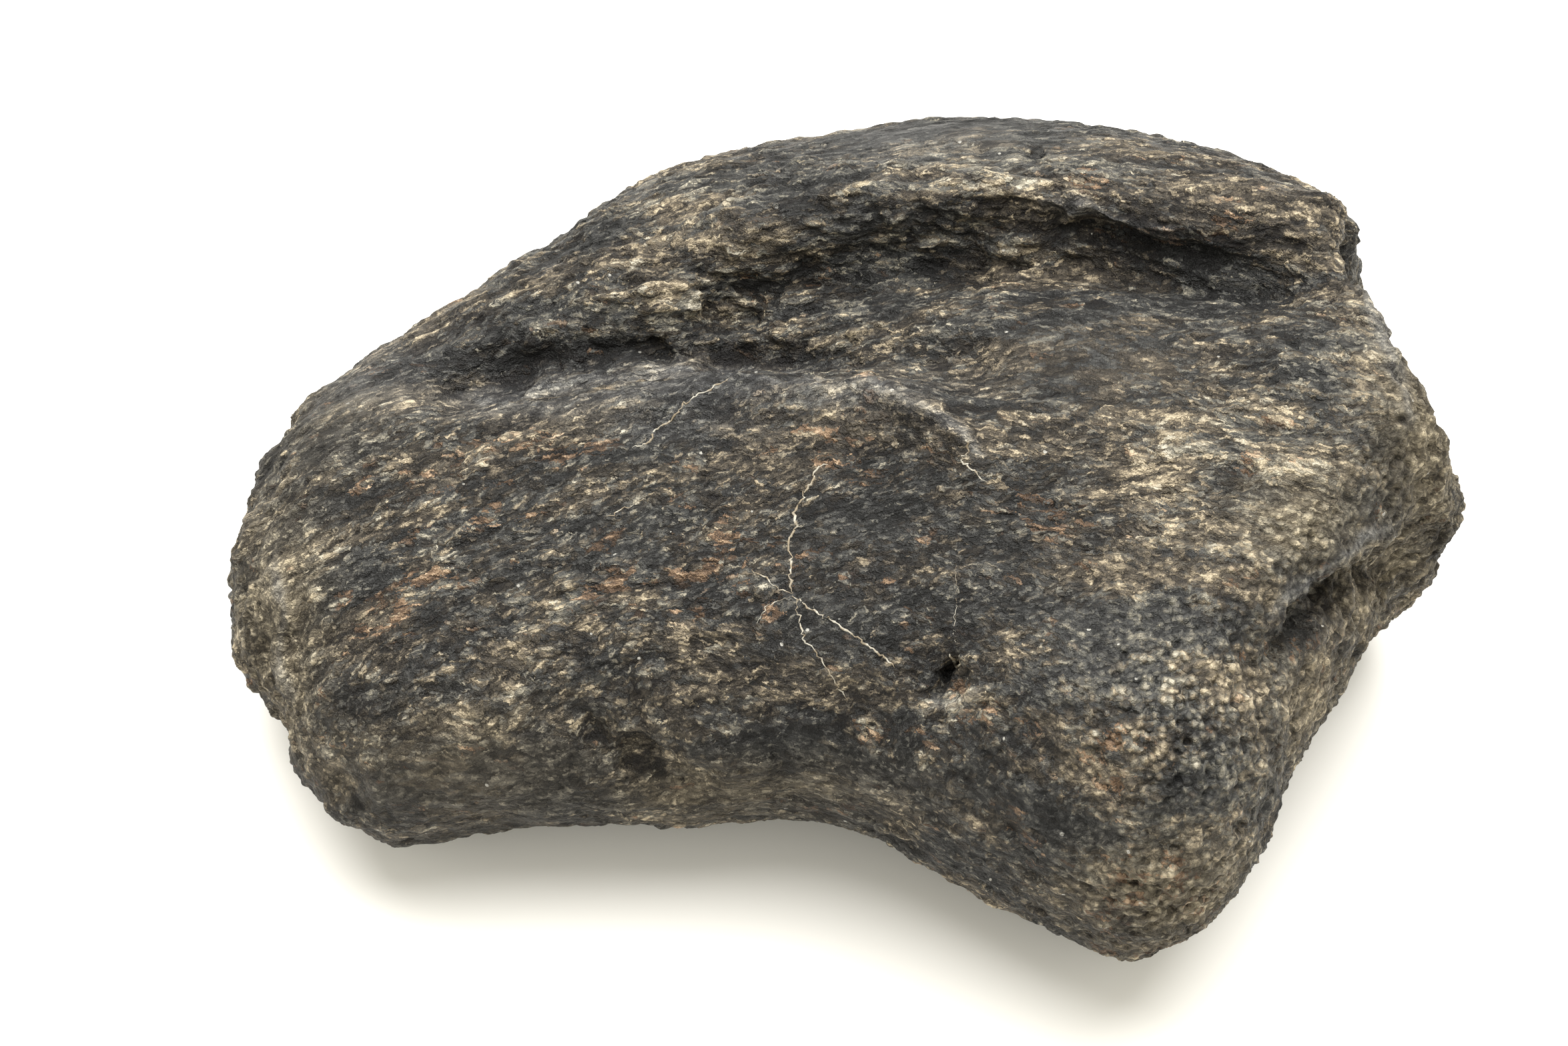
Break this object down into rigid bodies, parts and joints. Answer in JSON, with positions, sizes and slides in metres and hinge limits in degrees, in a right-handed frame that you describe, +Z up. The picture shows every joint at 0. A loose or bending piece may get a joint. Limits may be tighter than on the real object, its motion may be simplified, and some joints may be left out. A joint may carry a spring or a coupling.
{
  "type": "fossil theropod dinosaur claw bone",
  "caption": "Dark fossil claw bone of a meat-eating dinosaur, deep from back to belly, with a groove along each flank and a heel, worn blunt at the tip.",
  "frame": {"origin": "on the table under the middle of the bone's box, where the bone lies on its far flank", "axes": "+X from the worn tip to the joint end, +Y from the belly to the back of the claw, +Z up out of the near flank"},
  "size_m": [0.0788, 0.0596, 0.0289],
  "materials": {
    "fossil_bone": "dark mineralised bone, blue-black with cream, tan and rust flecks along the grain, low sheen"
  },
  "bodies": {
    "root": {"claw_bone": "fossil_bone"}
  },
  "joints": []
}
